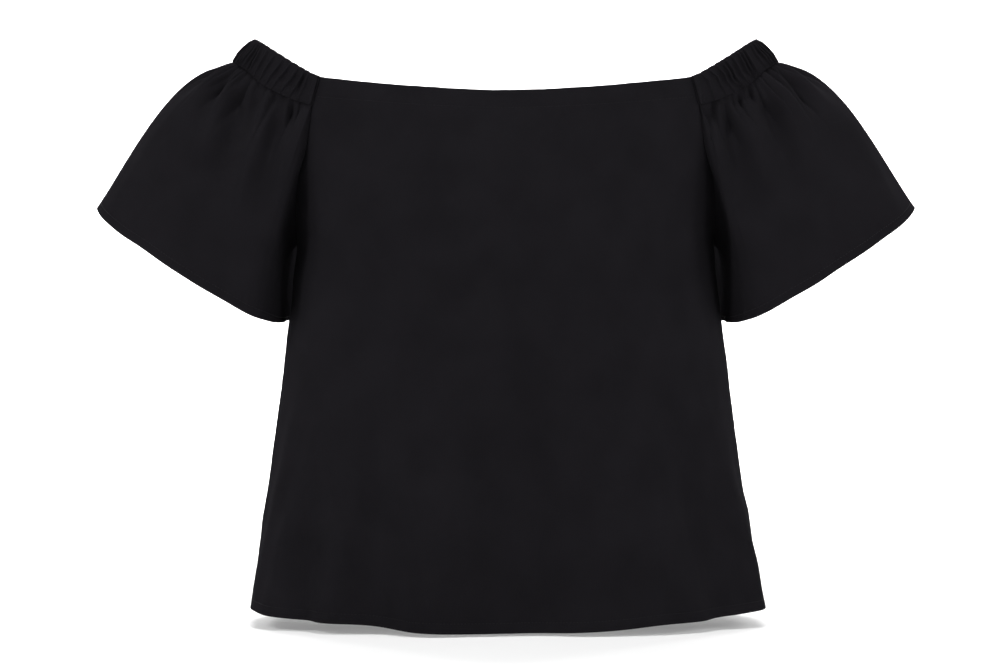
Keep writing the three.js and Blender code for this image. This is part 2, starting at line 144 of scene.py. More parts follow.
# Creases of the gathered casing: rounded ribs with a narrow slot between each two
PLEATS = 32
LEFT_SEED = 5
RIGHT_SEED = 9
PLEAT_DEPTH = 4.6
PLEAT_SHARPNESS = 1.7
SLOT_DEPTH = 4.2
SLOT_WIDTH = 0.55
CREASE_LEAN = 0.05

# Rounded outer end of the casing: where it starts and ends, and how far in, down and up it goes
CROWN_REACH = (207.0, 224.0)
CROWN_IN = (1.6, 3.0)
CROWN_DROP = 2.6
CROWN_LIFT = 2.8

# around, leave x y z, arrive x y z
SLEEVE_LINES = np.array([
    (0, 13, 0, -9, 4, 0, 25),
    (24, 14, -12, -14, 2, 0, 40),
    (48, 10, -14, -30, -6, -6, 60),
    (90, 16, -20, -24, -16, -10, 60),
    (135, 42, -16, -4, -26, -10, 54),
    (180, 52, 0, 8, -30.5, 0, 42),
], float)

# around, x, y, z
SLEEVE_HEM = np.array([
    (0, 193.5, 0, -217),
    (14, 192.5, -25, -218),
    (26, 196, -49, -218.5),
    (38, 203, -68, -217.5),
    (52, 220, -79, -211.5),
    (68, 245, -80, -197.5),
    (86, 268, -78, -184),
    (104, 290, -73, -170),
    (124, 312, -63, -155.5),
    (144, 335, -50, -140),
    (162, 352, -31, -126.5),
    (180, 359.5, 0, -117.5),
], float)
BACK_HEM_LIFT = 8.0
BACK_HEM_DEPTH = 0.94
BACK_HEM_HUG = (30.0, 11.0, 10.5)
BACK_LEAVE_HUG = 11.0
CASING_AROUND = 48.0
SLEEVE_LENGTH = 160.0
SLEEVE_COLUMNS = 540
SLEEVE_ROWS = 58
LAST_PLAIN_SHARE = 0.945
TOP_STITCH = 2.0
HEM_STITCH = 6.6
TOP_ROWS = [-1.5, 0.6, TOP_STITCH, 2.8]
SLEEVE_HEM_ROWS = [7.4, HEM_STITCH, 5.8, 4.0, 2.2]
SEAM_TUCK = 4.0
TUCK_DEPTH = 0.3

# Long gathers that run from the casing: from, to, reach, width, depth
GATHER_STRETCH = 1.2
GATHER_GAIN = 1.35
LEFT_GATHERS = [
    (55, 49, 0.3, 4, -5),
    (73, 52, 0.62, 6, -11),
    (85, 82, 0.25, 4, -5),
    (97, 86, 0.3, 4, -5),
    (109, 86, 0.64, 6.5, -10),
    (143, 124, 0.52, 5.5, -8),
    (170, 152, 0.4, 6, -5),
    (194, 198, 0.4, 7, -5),
    (220, 228, 0.6, 7, -8.5),
    (246, 252, 0.4, 6, -6),
    (270, 276, 0.6, 6.5, -8.5),
    (294, 300, 0.35, 6, -5),
]
RIGHT_GATHERS = [
    (65, 59, 0.32, 4, -6),
    (78, 52, 0.66, 5.5, -9),
    (99, 86, 0.5, 5, -8),
    (118, 84, 0.64, 6.5, -11),
    (139, 119, 0.52, 5.5, -8),
    (168, 150, 0.4, 6, -5),
    (190, 196, 0.35, 7, -5),
    (214, 222, 0.55, 7, -8.5),
    (240, 247, 0.4, 6, -6),
    (266, 273, 0.6, 6.5, -8.5),
    (291, 297, 0.4, 6, -6),
]

# Cloth
CLOTH_THICKNESS = 0.5
HEM_TURNING = 10.0
SLEEVE_HEM_TURNING = 8.0
SEAM_ALLOWANCE = 8.0
LAYERS_APART = 1.1
CASING_LAYER = 0.9
EDGE_REACH = 0.45
# distance in from the edge, share of the depth between the two layers
EDGE_FOLD = [(0.4, 0.93), (0.1, 0.75), (0.0, 0.5), (0.1, 0.25), (0.4, 0.07)]
TINY = 1e-3

# Stitches: place along the stitch, share of the radius
STITCH_PITCH = 3.0
STITCH_LENGTH = 2.3
STITCH_RADIUS = 0.2
STITCH_SIDES = 6
STITCH_PROFILE = [(-0.5, 0.0), (-0.44, 0.62), (-0.2, 1.0), (0.2, 1.0), (0.44, 0.62), (0.5, 0.0)]


def through(table, column):
    """A smooth curve through a table, from its first column to another."""
    keys = table[:, 0]
    values = table[:, column]
    slopes = np.empty(len(keys))
    slopes[1:-1] = (values[2:] - values[:-2]) / (keys[2:] - keys[:-2])
    slopes[0] = (values[1] - values[0]) / (keys[1] - keys[0])
    slopes[-1] = (values[-1] - values[-2]) / (keys[-1] - keys[-2])

    def at(x):
        x = np.asarray(x, float)
        i = np.clip(np.searchsorted(keys, x, side="left") - 1, 0, len(keys) - 2)
        span = keys[i + 1] - keys[i]
        t = np.clip((x - keys[i]) / span, 0, 1)
        rise = values[i + 1] - values[i]
        bend = (slopes[i] * span - rise) * (1 - t) + (rise - slopes[i + 1] * span) * t
        return values[i] + rise * t + bend * t * (1 - t)

    return at


def round_mirror(table, odd):
    """The table carried past both ends, where the named columns change sign."""
    first = table[1].copy()
    last = table[-2].copy()
    first[0] = 2 * table[0, 0] - first[0]
    last[0] = 2 * table[-1, 0] - last[0]
    for column in odd:
        first[column] *= -1
        last[column] *= -1
    return np.vstack([first, table, last])


def smooth(x, low, high):
    t = np.clip((x - low) / (high - low), 0, 1)
    return t * t * (3 - 2 * t)


def bump(offset, width):
    return np.exp(-((offset / width) ** 2))


def signed_power(value, power):
    return np.sign(value) * np.abs(value) ** power


def unit(vectors):
    return vectors / np.maximum(np.linalg.norm(vectors, axis=-1, keepdims=True), 1e-9)


def lerp(a, b, t):
    return a + (b - a) * t


def ripple(x, y, size, seed, waves=7):
    """Soft irregular waves about one unit high, of roughly one size."""
    rng = np.random.default_rng(seed)
    total = np.zeros(np.broadcast(x, y).shape)
    for _ in range(waves):
        turn = rng.uniform(0, 2 * math.pi)
        scale = 2 * math.pi / (size * rng.uniform(0.7, 1.6))
        total += np.sin((x * math.cos(turn) + y * math.sin(turn)) * scale + rng.uniform(0, 6.3))
    return total / math.sqrt(waves)


half_width = through(BODY_RINGS, 1)
front_depth = through(BODY_RINGS, 2)
back_depth = through(BODY_RINGS, 3)
front_drop = through(HEM_DROPS, 1)
back_drop = through(HEM_DROPS, 2)
armhole_height = through(ARMHOLE, 1)
armhole_angle = through(ARMHOLE, 2)
hem_ring = round_mirror(SLEEVE_HEM, [2])
hem_x, hem_y, hem_z = (through(hem_ring, c) for c in (1, 2, 3))
line_ring = round_mirror(SLEEVE_LINES, [2, 5])
line_columns = [through(line_ring, c) for c in range(1, 7)]


def flare_depth(degrees, height):
    total = np.zeros(np.broadcast(degrees, height).shape)
    for start, start_angle, hem_angle, width, depth in FLARES:
        fall = (start - height) / (start - HEM_HEIGHT)
        middle = lerp(start_angle, hem_angle, fall)
        total += depth * smooth(fall, 0, FLARE_FULL) * bump(degrees - middle, width)
    return total


def body_point(degrees, height):
    angle = np.radians(degrees)
    across, forward = np.cos(angle), np.sin(angle)
    width = half_width(height)
    depth = np.where(forward >= 0, front_depth(height), back_depth(height))
    out_x, out_y = across / width, -forward / depth
    size = np.hypot(out_x, out_y)
    flare = flare_depth(np.mod(degrees + 360, 360), height)
    x = width * signed_power(across, 2 / SQUARENESS) + out_x / size * flare
    y = -depth * signed_power(forward, 2 / SQUARENESS) + out_y / size * flare
    return np.stack(np.broadcast_arrays(x, y, height), -1)


def panel_point(row, share, is_front):
    """row is 0 to 1 from hem to underarm, then 1 + step of the armhole."""
    lower = np.clip(row, 0, 1)
    step = np.clip(row - 1, 0, NECK_STEP)
    is_armhole = row > 1
    edge_height = np.where(is_armhole, armhole_height(step), HEM_HEIGHT + lower * BODY_LENGTH)
    swing = SIDE_SEAM_SWING * (1 - smooth(edge_height, HEM_HEIGHT, UNDERARM_HEIGHT))
    edge = np.where(is_armhole, armhole_angle(step), swing if is_front else -swing)
    degrees = lerp(edge, 180 - edge, share)
    across = np.abs(np.cos(np.radians(degrees)) / np.cos(np.radians(edge)))
    middle = lerp(UNDERARM_HEIGHT, NECK_HEIGHT_MIDDLE, step / NECK_STEP)
    upper_height = lerp(middle, edge_height, across ** NECK_RISE_POWER)
    drop = (front_drop if is_front else back_drop)(np.minimum(degrees, 180 - degrees))
    height = np.where(is_armhole, upper_height, edge_height - (1 - lower) * drop)
    return body_point(degrees if is_front else degrees + 180, height)


def armhole_point(step, is_front):
    angle = armhole_angle(step)
    return body_point(np.where(is_front, angle, -angle), armhole_height(step))


def casing_point(rise, turn):
    """rise is 0 at the casing's foot and 1 at its top; turn is 0 to 2 over the shoulder."""
    power = 2 / SQUARENESS
    width, height, climb_power = (lerp(a, b, rise) for a, b in zip(CASING_FOOT, CASING_TOP))
    is_front = turn <= 1
    seam = armhole_point(CASING_STEP + rise, is_front)
    seam_x, seam_y, seam_z = seam[..., 0], seam[..., 1], seam[..., 2]
    seam_angle = np.arcsin((seam_x / width) ** (1 / power))
    angle = lerp(seam_angle, math.pi / 2, np.where(is_front, turn, 2 - turn))
    x = width * np.sin(angle) ** power
    y = seam_y * (np.abs(np.cos(angle)) / np.cos(seam_angle)) ** power
    climb = np.clip((x - seam_x) / (width - seam_x), 0, 1)
    return np.stack([x, y, lerp(seam_z, height, climb ** climb_power)], -1)


def sleeve_hem_point(around):
    front = np.minimum(around, 360 - around)
    is_back = around > 180
    lift = np.where(is_back, BACK_HEM_LIFT * np.sin(np.radians(front)), 0)
    y = hem_y(front) * np.where(is_back, -BACK_HEM_DEPTH, 1)
    middle, width, depth = BACK_HEM_HUG
    hug = np.where(is_back, depth * bump(front - middle, width), 0)
    return np.stack([hem_x(front) - hug, y, hem_z(front) + lift], -1)


def sleeve_point(share, around):
    front = np.minimum(around, 360 - around)
    is_back = around > 180
    step = np.clip(front / CASING_AROUND, 0, 1) * CASING_STEP
    turn = 2 * np.clip((around - CASING_AROUND) / (360 - 2 * CASING_AROUND), 0, 1)
    on_armhole = front < CASING_AROUND
    on_casing = casing_point(0.0 * turn, turn)
    start = np.where(on_armhole[..., None], armhole_point(step, ~is_back), on_casing)
    side = np.where(is_back, -1, 1)
    along_armhole = np.sin(math.pi * front / CASING_AROUND)
    hug = np.where(is_back & on_armhole, BACK_LEAVE_HUG * along_armhole, 0)
    leave_x, leave_y, leave_z, arrive_x, arrive_y, arrive_z = (line(front) for line in line_columns)
    leave = np.stack([leave_x - hug, side * leave_y, leave_z], -1)
    arrive = np.stack([arrive_x, side * arrive_y, arrive_z], -1)
    end = sleeve_hem_point(around)
    t = share[..., None]
    near, far = start + leave, end + arrive
    from_start = (1 - t) ** 3 * start + 3 * (1 - t) ** 2 * t * near
    return from_start + 3 * (1 - t) * t * t * far + t ** 3 * end


def turned_edge(width, apart):
    """Distances in from the edge and depths below the face, from the raw edge round the fold."""
    inner = [(width * share, apart) for share in (1, 0.75, 0.5, 0.25)] + [(1.0, apart)]
    fold = [(distance, apart * depth) for distance, depth in EDGE_FOLD]
    return inner + fold + [(1.0, 0.0)]


def outward(point, rows, columns):
    """Outward directions of a surface at a grid of rows and columns."""
    small = 1e-4
    up = point(rows + small, columns) - point(rows - small, columns)
    along = point(rows, columns + small) - point(rows, columns - small)
    return unit(np.cross(up, along))


def grid_directions(grid, ring):
    """Face directions of a grid, from its own points."""
    if ring:
        along = np.roll(grid, -1, 1) - np.roll(grid, 1, 1)
    else:
        along = np.gradient(grid, axis=1)
    up = np.gradient(grid, axis=0)
    return unit(np.cross(up, along))


def mesh_object(name, points, faces, material):
    """A smooth object of one material, with its points in metres."""
    mesh = bpy.data.meshes.new(name)
    mesh.from_pydata(points, [], faces)
    mesh.shade_smooth()
    mesh.materials.append(material)
    made = bpy.data.objects.new(name, mesh)
    bpy.context.scene.collection.objects.link(made)
    return made


def sheet_object(name, outer, ring, mirror):
    """A closed sheet of cloth under its outer grid, and the outward directions of the grid."""
    directions = grid_directions(outer, ring)
    inner = outer - directions * CLOTH_THICKNESS
    rows, columns = outer.shape[:2]
    points = np.concatenate([outer.reshape(-1, 3), inner.reshape(-1, 3)]) * MM
    if mirror:
        points[:, 0] *= -1
    count = columns if ring else columns - 1
    i, j = np.meshgrid(np.arange(rows - 1), np.arange(count), indexing="ij")
    k = (j + 1) % columns
    a, b = i * columns + j, i * columns + k
    c, d = (i + 1) * columns + k, (i + 1) * columns + j
    half = rows * columns
    outer_faces = np.stack([a, d, c, b], -1).reshape(-1, 4)
    inner_faces = np.stack([a, b, c, d], -1).reshape(-1, 4) + half
    j = np.arange(count)
    k = (j + 1) % columns
    top = (rows - 1) * columns
    rims = [
        np.stack([j, k, k + half, j + half], -1),
        np.stack([top + j, top + j + half, top + k + half, top + k], -1),
    ]
    if not ring:
        i = np.arange(rows - 1) * columns
        last = columns - 1
        rims.append(np.stack([i, i + half, i + columns + half, i + columns], -1))
        far = i + last
        rims.append(np.stack([far, far + columns, far + columns + half, far + half], -1))
    faces = np.concatenate([outer_faces, inner_faces, *rims])
    if mirror:
        faces = faces[:, ::-1]
    made = mesh_object(name, points.tolist(), faces.tolist(), crepe)
    lengths = np.linalg.norm(np.diff(outer, axis=0), axis=-1)
    v = np.vstack([np.zeros(columns), np.cumsum(lengths, axis=0)])
    widths = np.linalg.norm(np.diff(outer, axis=1), axis=-1).mean(0)
    u = np.tile(np.concatenate([[0], np.cumsum(widths)]), (rows, 1))
    flat = np.concatenate([np.stack([u, v], -1).reshape(-1, 2)] * 2) * MM
    mesh = made.data
    loops = np.empty(len(mesh.loops), int)
    mesh.loops.foreach_get("vertex_index", loops)
    mesh.uv_layers.new(name="cloth").data.foreach_set("uv", flat[loops].ravel())
    return made, directions


def stitch_points(centre, along, up):
    """One round stitch: its first tip, its rings and its last tip."""
    beside = np.cross(along, up)
    points = []
    for share, radius in STITCH_PROFILE:
        dip = -up * STITCH_RADIUS * 1.6 * (2 * share) ** 4
        middle = centre + along * share * STITCH_LENGTH + dip
        if radius == 0:
            points.append(middle)
            continue
        for side in range(STITCH_SIDES):
            turn = 2 * math.pi * side / STITCH_SIDES
            ray = beside * math.cos(turn) + up * math.sin(turn)
            points.append(middle + ray * radius * STITCH_RADIUS)
    return points


def stitch_faces(start):
    rings = len(STITCH_PROFILE) - 2
    last = start + 1 + rings * STITCH_SIDES
    faces = []
    for s in range(STITCH_SIDES):
        t = (s + 1) % STITCH_SIDES
        faces.append((start, start + 1 + t, start + 1 + s))
        faces.append((last, last - STITCH_SIDES + s, last - STITCH_SIDES + t))
        for ring in range(rings - 1):
            low = start + 1 + ring * STITCH_SIDES
            high = low + STITCH_SIDES
            faces.append((low + s, low + t, high + t, high + s))
    return faces


def stitches_object(name, runs, mirror):
    """Short round stitches lying along lines on the cloth, sunk a little into it."""
    points, faces = [], []
    for line, normals in runs:
        steps = np.linalg.norm(np.diff(line, axis=0), axis=1)
        way = np.concatenate([[0], np.cumsum(steps)])

        def at(values, distance):
            return np.array([np.interp(distance, way, values[:, c]) for c in range(3)])

        count = max(int(way[-1] / STITCH_PITCH), 1)
        for middle in (np.arange(count) + 0.5) * way[-1] / count:
            before, after = at(line, middle - 0.5), at(line, middle + 0.5)
            along = after - before
            along /= np.linalg.norm(along)
            up = at(normals, middle)
            up -= along * up.dot(along)
            up /= np.linalg.norm(up)
            centre = (before + after) / 2 + up * STITCH_RADIUS * 0.35
            faces += stitch_faces(len(points))
            points += stitch_points(centre, along, up)
    points = np.array(points) * MM
    if mirror:
        points[:, 0] *= -1
        faces = [face[::-1] for face in faces]
    return mesh_object(name, points.tolist(), faces, thread)


# Materials
CREPE_COLOUR = (0.0092, 0.0086, 0.0101)


def new_material(name, colour, roughness, specular):
    material = bpy.data.materials.new(name)
    material.use_nodes = True
    shader = material.node_tree.nodes["Principled BSDF"]
    shader.inputs["Base Color"].default_value = (*colour, 1)
    shader.inputs["Roughness"].default_value = roughness
    shader.inputs["Specular IOR Level"].default_value = specular
    return material, material.node_tree, shader


def add_node(tree, kind, inputs):
    node = tree.nodes.new(kind)
    for key, value in inputs.items():
        node.inputs[key].default_value = value
    return node


def colour_ramp(tree, factor, dark, light, ends=(0.0, 1.0)):
    """A ramp from a dark to a light colour, driven by a factor."""
    ramp = tree.nodes.new("ShaderNodeValToRGB")
    for element, colour, position in zip(ramp.color_ramp.elements, (dark, light), ends):
        element.color = (*colour, 1)
        element.position = position
    tree.links.new(factor, ramp.inputs["Fac"])
    return ramp.outputs["Color"]


def relief(tree, shader, height, strength, distance):
    bump_node = add_node(tree, "ShaderNodeBump", {"Strength": strength, "Distance": distance})
    tree.links.new(height, bump_node.inputs["Height"])
    tree.links.new(bump_node.outputs["Normal"], shader.inputs["Normal"])


def yarns(tree, uv, direction, scale):
    """The fine bands of the yarns that run one way."""
    bands = add_node(tree, "ShaderNodeTexWave", {"Scale": scale, "Distortion": 1.6, "Detail": 1})
    bands.bands_direction = direction
    tree.links.new(uv, bands.inputs["Vector"])
    return bands.outputs["Fac"]


def crepe_material():
    """Matt black crepe: a pebbled grain over a fine weave, uneven in tone, with a soft sheen."""
    material, tree, shader = new_material("crepe", CREPE_COLOUR, 0.78, 0.0)
    shader.inputs["Sheen Weight"].default_value = 0.012
    shader.inputs["Sheen Roughness"].default_value = 0.45
    shader.inputs["Sheen Tint"].default_value = (0.75, 0.74, 0.8, 1)
    links = tree.links
    cloth = tree.nodes.new("ShaderNodeUVMap")
    cloth.uv_map = "cloth"
    uv = cloth.outputs["UV"]
    place = tree.nodes.new("ShaderNodeTexCoord")

    grain = add_node(tree, "ShaderNodeTexNoise", {"Scale": 1100, "Detail": 3, "Roughness": 0.6})
    links.new(uv, grain.inputs["Vector"])
    weave = tree.nodes.new("ShaderNodeMath")
    weave.operation = "MULTIPLY"
    links.new(yarns(tree, uv, "X", 620), weave.inputs[0])
    links.new(yarns(tree, uv, "Y", 560), weave.inputs[1])
    height = add_node(tree, "ShaderNodeMath", {1: 0.55})
    height.operation = "MULTIPLY_ADD"
    links.new(weave.outputs[0], height.inputs[0])
    links.new(grain.outputs["Fac"], height.inputs[2])
    relief(tree, shader, height.outputs[0], 0.55, 0.00016)

    tone = add_node(tree, "ShaderNodeTexNoise", {"Scale": 24, "Detail": 4})
    links.new(place.outputs["Object"], tone.inputs["Vector"])
    patches = add_node(tree, "ShaderNodeMath", {1: 0.7})
    patches.operation = "MULTIPLY_ADD"
    links.new(tone.outputs["Fac"], patches.inputs[0])
    links.new(grain.outputs["Fac"], patches.inputs[2])
    dark = [c * 0.87 for c in CREPE_COLOUR]
    light = [c * 1.2 for c in CREPE_COLOUR]
    shade = colour_ramp(tree, patches.outputs[0], dark, light, (0.575, 1.0))
    links.new(shade, shader.inputs["Base Color"])

    rough = add_node(tree, "ShaderNodeMapRange", {"To Min": 0.7, "To Max": 0.88})
    links.new(grain.outputs["Fac"], rough.inputs["Value"])
    links.new(rough.outputs["Result"], shader.inputs["Roughness"])
    return material


def thread_material():
    material, tree, shader = new_material("thread", (0.011, 0.0105, 0.012), 0.6, 0.08)
    place = tree.nodes.new("ShaderNodeTexCoord")
    twist = add_node(tree, "ShaderNodeTexNoise", {"Scale": 3500})
    tree.links.new(place.outputs["Object"], twist.inputs["Vector"])
    relief(tree, shader, twist.outputs["Fac"], 0.4, 0.00008)
    shade = colour_ramp(tree, twist.outputs["Fac"], (0.009, 0.009, 0.01), (0.014, 0.013, 0.015))
    tree.links.new(shade, shader.inputs["Base Color"])
    return material


crepe = crepe_material()
thread = thread_material()


# Body panels
def edge_columns(count, width, margin, apart):
    """Column places from 0 to 1 with a turned seam allowance at each side, and their depths."""
    turned = turned_edge(margin, apart)
    near = [(x / width, d) for x, d in turned] + [(2.2 / width, 0), (4.0 / width, 0)]
    first = 6.5 / width
    inner = list(np.linspace(first, 1 - first, count))
    places = np.array([x for x, _ in near] + inner + [1 - x for x, _ in reversed(near)])
    depths = [d for _, d in near] + [0.0] * count + [d for _, d in reversed(near)]
    return 0.5 + (places - 0.5) * (1 + 2 * EDGE_REACH / width), np.array(depths)


def panel_rows():
    """Rows of a panel from the hem's raw edge to the neck's, and their depths."""
    hem = [(x / BODY_LENGTH, d) for x, d in turned_edge(HEM_TURNING, LAYERS_APART)]
    lower = [x / BODY_LENGTH for x in HEM_ROWS]
    lower += list(np.linspace(FIRST_PLAIN_ROW / BODY_LENGTH, 1, PANEL_ROWS))
    upper = list(np.linspace(0, CASING_STEP, ARMHOLE_ROWS)[1:]) + NECK_ROWS
    neck_edge = reversed(turned_edge(NECK_BAND * 0.95, LAYERS_APART))
    neck = [(NECK_STEP - x / NECK_BAND, d) for x, d in neck_edge]
    rows = [r for r, _ in hem] + lower + [1 + step for step in upper] + [1 + r for r, _ in neck]
    depths = [d for _, d in hem] + [0.0] * (len(lower) + len(upper)) + [d for _, d in neck]
    return rows, np.array(depths)


def panel_ripples(row, share, x, z, seed):
    """Soft waves of the cloth, its side seams, its rows of stitches and its waved hem."""
    from_seam = np.minimum(share, 1 - share) * PANEL_WIDTH
    clear = smooth(from_seam, 0, 16)
    depth = 0.7 * ripple(x * 1.4, z * 0.3, 60, seed) * smooth(z, -60, -180) * clear
    depth += 0.45 * ripple(x, z * 0.7, 38, seed + 1) * clear
    depth += 0.13 * ripple(x, z, 15, seed + 6) * clear
    # Seams roll in, with small puckers beside them
    depth -= 0.35 * bump(from_seam, 1.2)
    depth += 0.16 * ripple(row * 300, from_seam * 0, 9, SEAM_PUCKER_SEED) * bump(from_seam, 7)
    # Stitch lines sink and pucker at the hem and below the neck edge
    rise = row * BODY_LENGTH
    drop = (1 + NECK_STEP - row) * NECK_BAND
    for distance, stitches in ((rise, HEM_STITCH_RISE), (drop, NECK_STITCH_DROP)):
        depth -= 0.22 * bump(distance - stitches, 0.9)
        depth += 0.14 * ripple(x, distance * 0.3, 8, seed + 3) * bump(distance - stitches, 6)
    # The hem's edge waves a little
    return depth + 0.9 * ripple(x, x * 0, 45, seed + 4) * bump(rise, 26) * clear


def panel(name, is_front, seed):
    rows, row_depth = panel_rows()
    columns, column_depth = edge_columns(PANEL_COLUMNS, PANEL_WIDTH, SEAM_ALLOWANCE, LAYERS_APART)
    row, share = np.meshgrid(rows, columns, indexing="ij")
    lap = FRONT_LAP if is_front else BACK_LAP
    lap = lap * smooth(row, 1, 1.5) * (1 - smooth(row, 6.2, 7))
    share = 0.5 + (share - 0.5) * (1 + lap / (PANEL_WIDTH / 2))

    def place(r, s):
        return panel_point(r, s, is_front)

    base = place(row, share)
    normal = outward(place, row, share)
    ripples = panel_ripples(row, share, base[..., 0], base[..., 2], seed)
    depth = ripples - row_depth[:, None] - column_depth[None, :]
    outer = base + normal * depth[..., None]
    made, directions = sheet_object(name, outer, False, False)
    hem_row = rows.index(HEM_STITCH_RISE / BODY_LENGTH)
    from_stitch = np.abs(np.array(rows) - (1 + NECK_STEP - NECK_STITCH_DROP / NECK_BAND))
    neck_row = int(np.argmin(np.where(row_depth > 0, np.inf, from_stitch)))
    inside = slice(SEAM_COLUMNS, -SEAM_COLUMNS)
    runs = [(outer[r, inside], directions[r, inside]) for r in (hem_row, neck_row)]
    return made, stitches_object(name + "_stitches", runs, False)


# Casings and sleeves
def pleat_ends(seed):
    """Where the casing's valleys lie, from 0 to 2 over the shoulder."""
    widths = np.random.default_rng(seed).uniform(0.5, 1.4, PLEATS)
    return np.concatenate([[0], np.cumsum(widths)]) * 2 / widths.sum()


def pleat_shape(turn, seed):
    """How far the pleats sink at each place, and how far down the sleeve each valley runs."""
    rng = np.random.default_rng(seed + 100)
    ends = pleat_ends(seed)
    depths = rng.uniform(0.5, 1.2, PLEATS + 1)
    depths[[0, -1]] = 0
    reach = rng.uniform(0.14, 0.62, PLEATS + 1)
    i = np.clip(np.searchsorted(ends, turn, side="right") - 1, 0, PLEATS - 1)
    width = ends[i + 1] - ends[i]
    q = (turn - ends[i]) / width
    nearest = np.where(q < 0.5, i, i + 1)
    size = np.minimum(width / (2 / PLEATS), 1.1)
    away = np.minimum(q, 1 - q) * width * HALF_CASING
    valley = -PLEAT_DEPTH * np.abs(2 * q - 1) ** PLEAT_SHARPNESS * depths[nearest] * size
    slot = -SLOT_DEPTH * np.exp(-(np.abs(away) / SLOT_WIDTH) ** 1.3) * (depths[nearest] > 0)
    return valley, slot, reach[nearest]


def casing_columns(seed):
    """Places along the casing, close together beside each slot, and the depths of its ends."""
    ends = pleat_ends(seed)
    half = HALF_CASING
    beside = np.array([0, 0.2, 0.4, 0.65, 1.0, 1.5]) / half
    across = np.array([0.36, 0.5, 0.64])
    begins, stops = ends[:-1, None], ends[1:, None]
    turns = np.hstack([begins + beside, begins + (stops - begins) * across, stops - beside[:0:-1]])
    turns = turns.ravel()
    near = [(x / half, d) for x, d in turned_edge(4.0, CASING_LAYER)] + [(1.7 / half, 0)]
    inner = turns[(turns > 2.4 / half) & (turns < 2 - 2.4 / half)]
    columns = np.concatenate([[x for x, _ in near], inner, [2 - x for x, _ in reversed(near)]])
    depths = np.concatenate([[d for _, d in near], 0 * inner, [d for _, d in reversed(near)]])
    return 1 + (columns - 1) * (1 + EDGE_REACH / half), depths


def casing(name, seed, mirror):
    apart = CASING_LAYERS_APART
    layers = [(rise, apart) for rise in (CASING_OVERLAP, 0.3, 0.6, 0.9, 0.965)]
    layers += [(rise, apart * depth) for rise, depth in CASING_FOLD]
    layers += [(rise, 0.0) for rise in np.linspace(0.96, CASING_OVERLAP, CASING_ROWS)]
    rises, depths = np.array(layers).T
    columns, turn_depth = casing_columns(seed)
    rise, turn = np.meshgrid(rises, columns, indexing="ij")
    from_end = smooth(np.minimum(turn, 2 - turn), 0, 0.15)
    wander = 0.02 * ripple(rise * 2.2, turn * 5, 2.5, seed + 5) * from_end
    valley, slot, _ = pleat_shape(np.clip(turn, 0, 2), seed)
    sink = 0.375 * valley + slot * smooth(rise, 0.0, 0.14)
    rise_safe = np.clip(rise, CASING_OVERLAP, 1) * (1 + CASING_EDGE_DIP * sink / PLEAT_DEPTH)
    lean = CREASE_LEAN * rise * np.sin(math.pi * np.clip(turn, 0, 2))
    base = casing_point(rise_safe, turn + wander - lean)
    end = smooth(base[..., 0], *CROWN_REACH)
    base[..., 0] -= lerp(*CROWN_IN, rise) * end
    base[..., 2] -= CROWN_DROP * end * smooth(rise, 0.5, 1)
    base[..., 2] += CROWN_LIFT * end * (1 - smooth(rise, 0, 0.6))
    inside_rise = np.clip(rise_safe, TINY, 1 - TINY)
    normal = outward(casing_point, inside_rise, np.clip(turn, TINY, 2 - TINY))
    swell = np.sin(math.pi * np.clip(rise, 0, 1))
    puff = CASING_BULGE * swell ** 0.8 * np.clip(np.sin(math.pi * turn / 2), 0, 1) ** 0.5
    near_top = 1 - 0.75 * smooth(rise, 0.84, 1)
    depth = puff * 0.55 + sink * (0.8 + 0.2 * swell) * near_top
    is_inner = depths[:, None] > apart * 0.6
    depth = np.where(is_inner, depth * 0.7, depth) - depths[:, None] - turn_depth[None, :]
    made, _ = sheet_object(name, base + normal * depth[..., None], False, mirror)
    return made


def sleeve_rows():
    """Rows of a sleeve from the raw edge of its top to that of its hem, and their depths."""
    length = SLEEVE_LENGTH
    tucked = turned_edge(SEAM_ALLOWANCE, CASING_LAYER)
    top = [((x - SEAM_TUCK) / length, d + TUCK_DEPTH) for x, d in tucked]
    plain = [x / length for x in TOP_ROWS]
    plain += list(np.linspace(4 / length, LAST_PLAIN_SHARE, SLEEVE_ROWS))
    plain += [1 - x / length for x in SLEEVE_HEM_ROWS]
    hem = [(1 - x / length, d) for x, d in reversed(turned_edge(SLEEVE_HEM_TURNING, LAYERS_APART))]
    shares = [share for share, _ in top] + plain + [share for share, _ in hem]
    depths = [d for _, d in top] + [0.0] * len(plain) + [d for _, d in hem]
    return shares, np.array(depths)


def long_gathers(share, around, gathers):
    total = np.zeros(share.shape)
    for start, end, far, width, deep in gathers:
        way = share / (far * GATHER_STRETCH)
        middle = lerp(start, end, way)
        swell = smooth(way, 0, 0.3) * (1 - smooth(way, 0.3, 1))
        total += GATHER_GAIN * deep * swell * bump(around - middle, width * (1 + way))
    return total


def sleeve_ripples(share, around, on_head, seed):
    """The dip of the top's stitches, soft waves, and the hem's waves, stitches and puckers."""
    depth = -0.3 * bump(share * SLEEVE_LENGTH - TOP_STITCH, 1.0) * on_head
    loop = np.radians(around)
    hem_waves = np.sin(loop * 7 + seed) + 0.7 * np.sin(loop * 11 + 2 * seed)
    depth += 0.7 * hem_waves * smooth(share, 0.45, 1)
    depth += 0.35 * ripple(around * 1.6, share * 60, 34, seed + 1)
    from_hem = (1 - share) * SLEEVE_LENGTH
    depth -= 0.22 * bump(from_hem - HEM_STITCH, 0.9)
    puckers = ripple(around * 2.2, from_hem * 0.3, 8, seed + 2)
    return depth + 0.12 * puckers * bump(from_hem - HEM_STITCH, 6)


